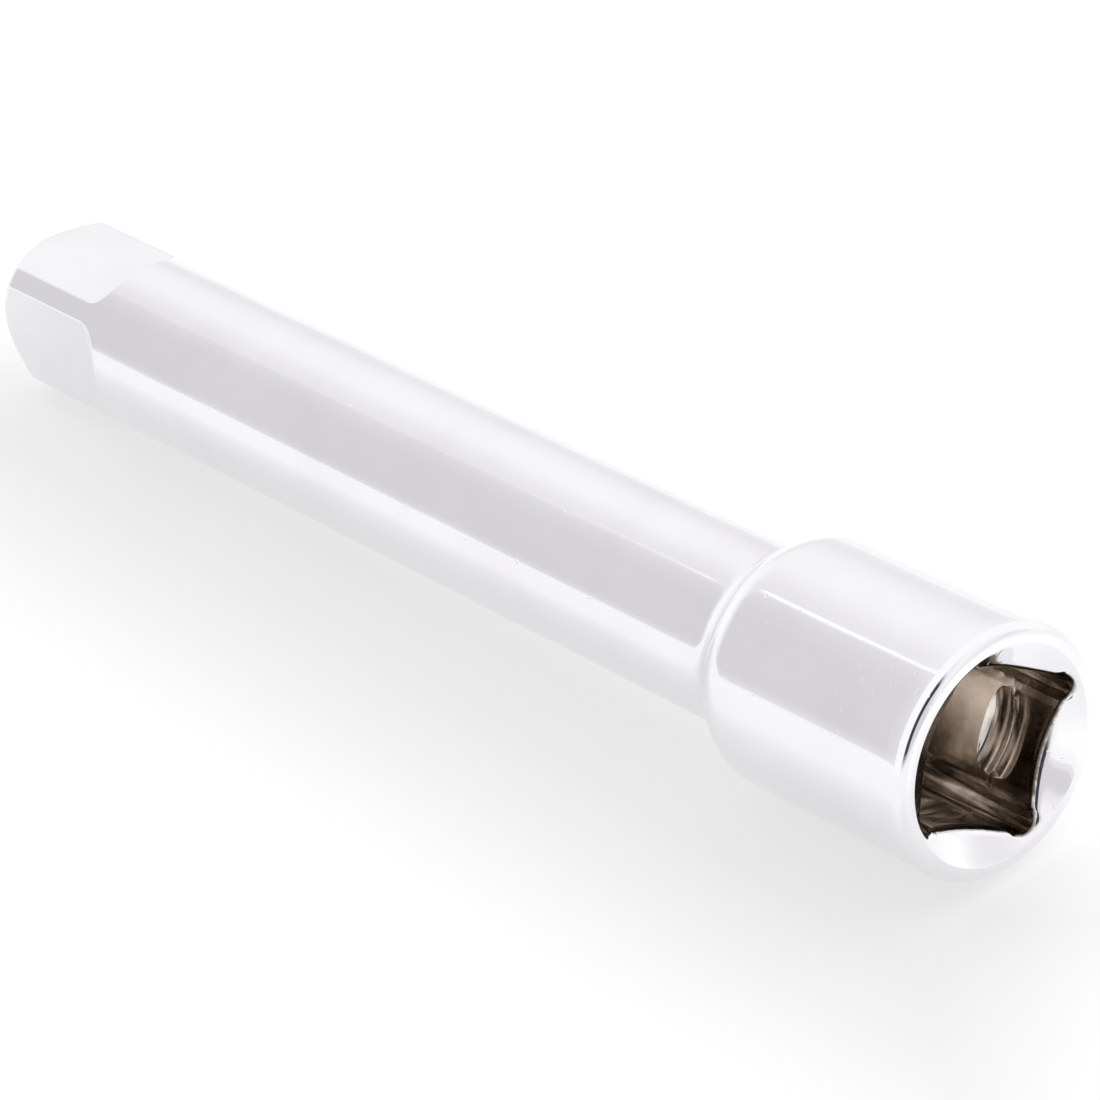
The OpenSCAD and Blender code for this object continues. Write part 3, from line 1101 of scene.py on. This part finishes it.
def table_top():
    """A wide quad whose height falls in a straight line along the bar."""
    shank_end = FLAT_END + RUNOUT_R
    fall = (HEAD_R - SHANK_R) / (-HEAD_LENGTH - shank_end)
    x = np.array([-1, 1, 1, -1]) * FLOOR_REACH
    y = np.array([-1, -1, 1, 1]) * FLOOR_REACH
    z = -HEAD_R - (x + HEAD_LENGTH) * fall
    mesh = bpy.data.meshes.new("table_top")
    mesh.from_pydata((np.stack([x, y, z], -1) * MM).tolist(), [], [(0, 1, 2, 3)])
    obj = bpy.data.objects.new("table_top", mesh)
    bpy.context.scene.collection.objects.link(obj)
    return obj, math.degrees(math.atan(fall))


def table_finish():
    """Matt pale board with a trace of mottling and a painted glow, lowered by a painted shadow
    under the bar, which can be looked through from below.
    """
    material, tree, shader, place = new_material("table_finish")
    mottle = spread(tree, noise(tree, place, MOTTLE_SCALE), *MID_RANGE)
    darker = tuple(MOTTLE_DARK * v for v in TABLE[:3]) + (1,)
    tree.links.new(blend_colours(tree, mottle, TABLE, darker), shader.inputs["Base Color"])
    shader.inputs["Roughness"].default_value = TABLE_ROUGH
    shader.inputs["Specular IOR Level"].default_value = TABLE_SHINE
    shader.inputs["Emission Color"].default_value = (1, 1, 1, 1)
    axes = add(tree, "ShaderNodeSeparateXYZ", {"Vector": place}).outputs
    # Painted shadow: the glow is lowered near the bar's line along its length, and painted dimmer
    # on the near side and far behind.
    beside = spread(tree, distance(tree, axes["Y"], SHADE_AT), *SHADE_WIDTH)
    beyond = spread(tree, distance(tree, axes["X"], TIP * MM / 2), *SHADE_LENGTH)
    shade = spread(tree, sums(tree, "MAXIMUM", beside, beyond), 0, 1, SHADE_GLOW, 1)
    far = spread(tree, axes["Y"], *FAR_FALL, 1, FAR_GLOW)
    near = spread(tree, axes["Y"], *NEAR_SIDE, NEAR_GLOW, 1)
    glow = product(tree, shade, far, near, TABLE_GLOW)
    tree.links.new(glow, shader.inputs["Emission Strength"])
    under = add(tree, "ShaderNodeNewGeometry").outputs["Backfacing"]
    clear_view = add(tree, "ShaderNodeBsdfTransparent").outputs["BSDF"]
    both = add(tree, "ShaderNodeMixShader", {0: under, 1: shader.outputs["BSDF"], 2: clear_view})
    tree.links.new(both.outputs["Shader"], tree.nodes["Material Output"].inputs["Surface"])
    return material


table, tilt = table_top()
table.data.materials.append(table_finish())
print("table tilts", round(tilt, 2), "degrees")

# %% [markdown]
# ## Soft studio light
#
# Chrome shows its surroundings, so the light is a white tent with gentle steps in it. All of
# it lives in the world's shader: brightness follows the angle round the bar, with a greyer
# panel on the near side. Straight across the bar, and right beyond its tip, the panels give
# way to even light. A narrow strip of light runs overhead, and a gap in the tent, seen only
# from the head's end, puts the dark line on the rounding of the mouth.

# %% World
TENT_STRENGTH = 1.06
TENT = [
    (-180, 0.86), (-150, 0.72), (-118, 0.66), (-104, 0.86), (-88, 0.98), (-60, 0.90),
    (-34, 0.70), (-12, 0.78), (0, 0.93), (8, 0.88), (15, 0.87), (28, 0.935), (44, 0.985),
    (60, 0.995), (68, 0.974), (76, 0.935), (85, 0.89), (97, 0.86), (98.5, 0.80), (108, 0.75),
    (122, 0.717), (165, 0.71), (171, 0.718), (176, 0.78), (180, 0.86),
]
SHADE_TINT = (0.02, -0.035, 0.06)
STRIP_AT, STRIP_HALF, STRIP_CORE, STRIP_LIGHT = 95.0, 1.6, 0.5, 1.25
STRIP_START, STRIP_END = (-0.69, -0.665), (-0.40, -0.55)
DARK_CENTRE, DARK_HALF, DARK_SOFT = (0.63, 134), (0.15, 38), (0.03, 6)
DARK_GAP = (0.05, 0.048, 0.055, 1)
EVEN_LIGHT = 1.04
MIDDLE_FADE, MIDDLE_HALF, MIDDLE_AT = 0.22, 0.40, -0.02
TIP_WHITE = (-0.85, -0.97)


def grey(light):
    """A neutral colour of this brightness."""
    return light, light, light, 1


def tent_colour(tree, round_bar):
    """Brightness from a table of (degrees round the bar, brightness), shades a little violet."""
    share = spread(tree, round_bar, -math.pi, math.pi)
    ramp = add(tree, "ShaderNodeValToRGB", {"Fac": share})
    ramp.color_ramp.interpolation = "LINEAR"
    stops = ramp.color_ramp.elements
    stops.remove(stops[1])
    for number, (degrees, light) in enumerate(TENT):
        stop = stops[0] if number == 0 else stops.new((degrees + 180) / 360)
        stop.position = (degrees + 180) / 360
        stop.color = [light * (1 + tint * (1 - light)) for tint in SHADE_TINT] + [1]
    return ramp.outputs["Color"]


def within(tree, value, centre, half, soft):
    """1 where a value is within half of a centre, 0 beyond it, with a soft edge."""
    return spread(tree, distance(tree, value, centre), half + soft, half - soft)


def studio_world():
    """The tent, its even light, the strip and the gap, laid over one another in that order."""
    world = bpy.data.worlds.new("studio")
    bpy.context.scene.world = world
    world.use_nodes = True
    tree = world.node_tree
    way = add(tree, "ShaderNodeTexCoord").outputs["Generated"]
    axes = add(tree, "ShaderNodeSeparateXYZ", {"Vector": way}).outputs
    round_bar = sums(tree, "ARCTAN2", axes["Z"], axes["Y"])
    degrees = product(tree, round_bar, 180 / math.pi)

    off_middle = distance(tree, axes["X"], MIDDLE_AT)
    middle = spread(tree, off_middle, MIDDLE_HALF + MIDDLE_FADE, MIDDLE_HALF)
    plain = sums(tree, "MAXIMUM", middle, spread(tree, axes["X"], *TIP_WHITE))
    tent = blend_colours(tree, plain, tent_colour(tree, round_bar), grey(EVEN_LIGHT))

    off_strip = distance(tree, degrees, STRIP_AT)
    strip = product(
        tree, spread(tree, off_strip, STRIP_HALF, STRIP_HALF * STRIP_CORE),
        spread(tree, axes["X"], *STRIP_START), spread(tree, axes["X"], *STRIP_END),
    )
    lit = blend_colours(tree, strip, tent, grey(STRIP_LIGHT))

    parts = zip((axes["X"], degrees), DARK_CENTRE, DARK_HALF, DARK_SOFT)
    gap = product(tree, *(within(tree, *part) for part in parts))
    back = tree.nodes["Background"]
    tree.links.new(blend_colours(tree, gap, lit, DARK_GAP), back.inputs["Color"])
    back.inputs["Strength"].default_value = TENT_STRENGTH
    return world


studio_world()
bpy.context.scene.view_settings.view_transform = "Standard"
print("world:", bpy.context.scene.world.name)
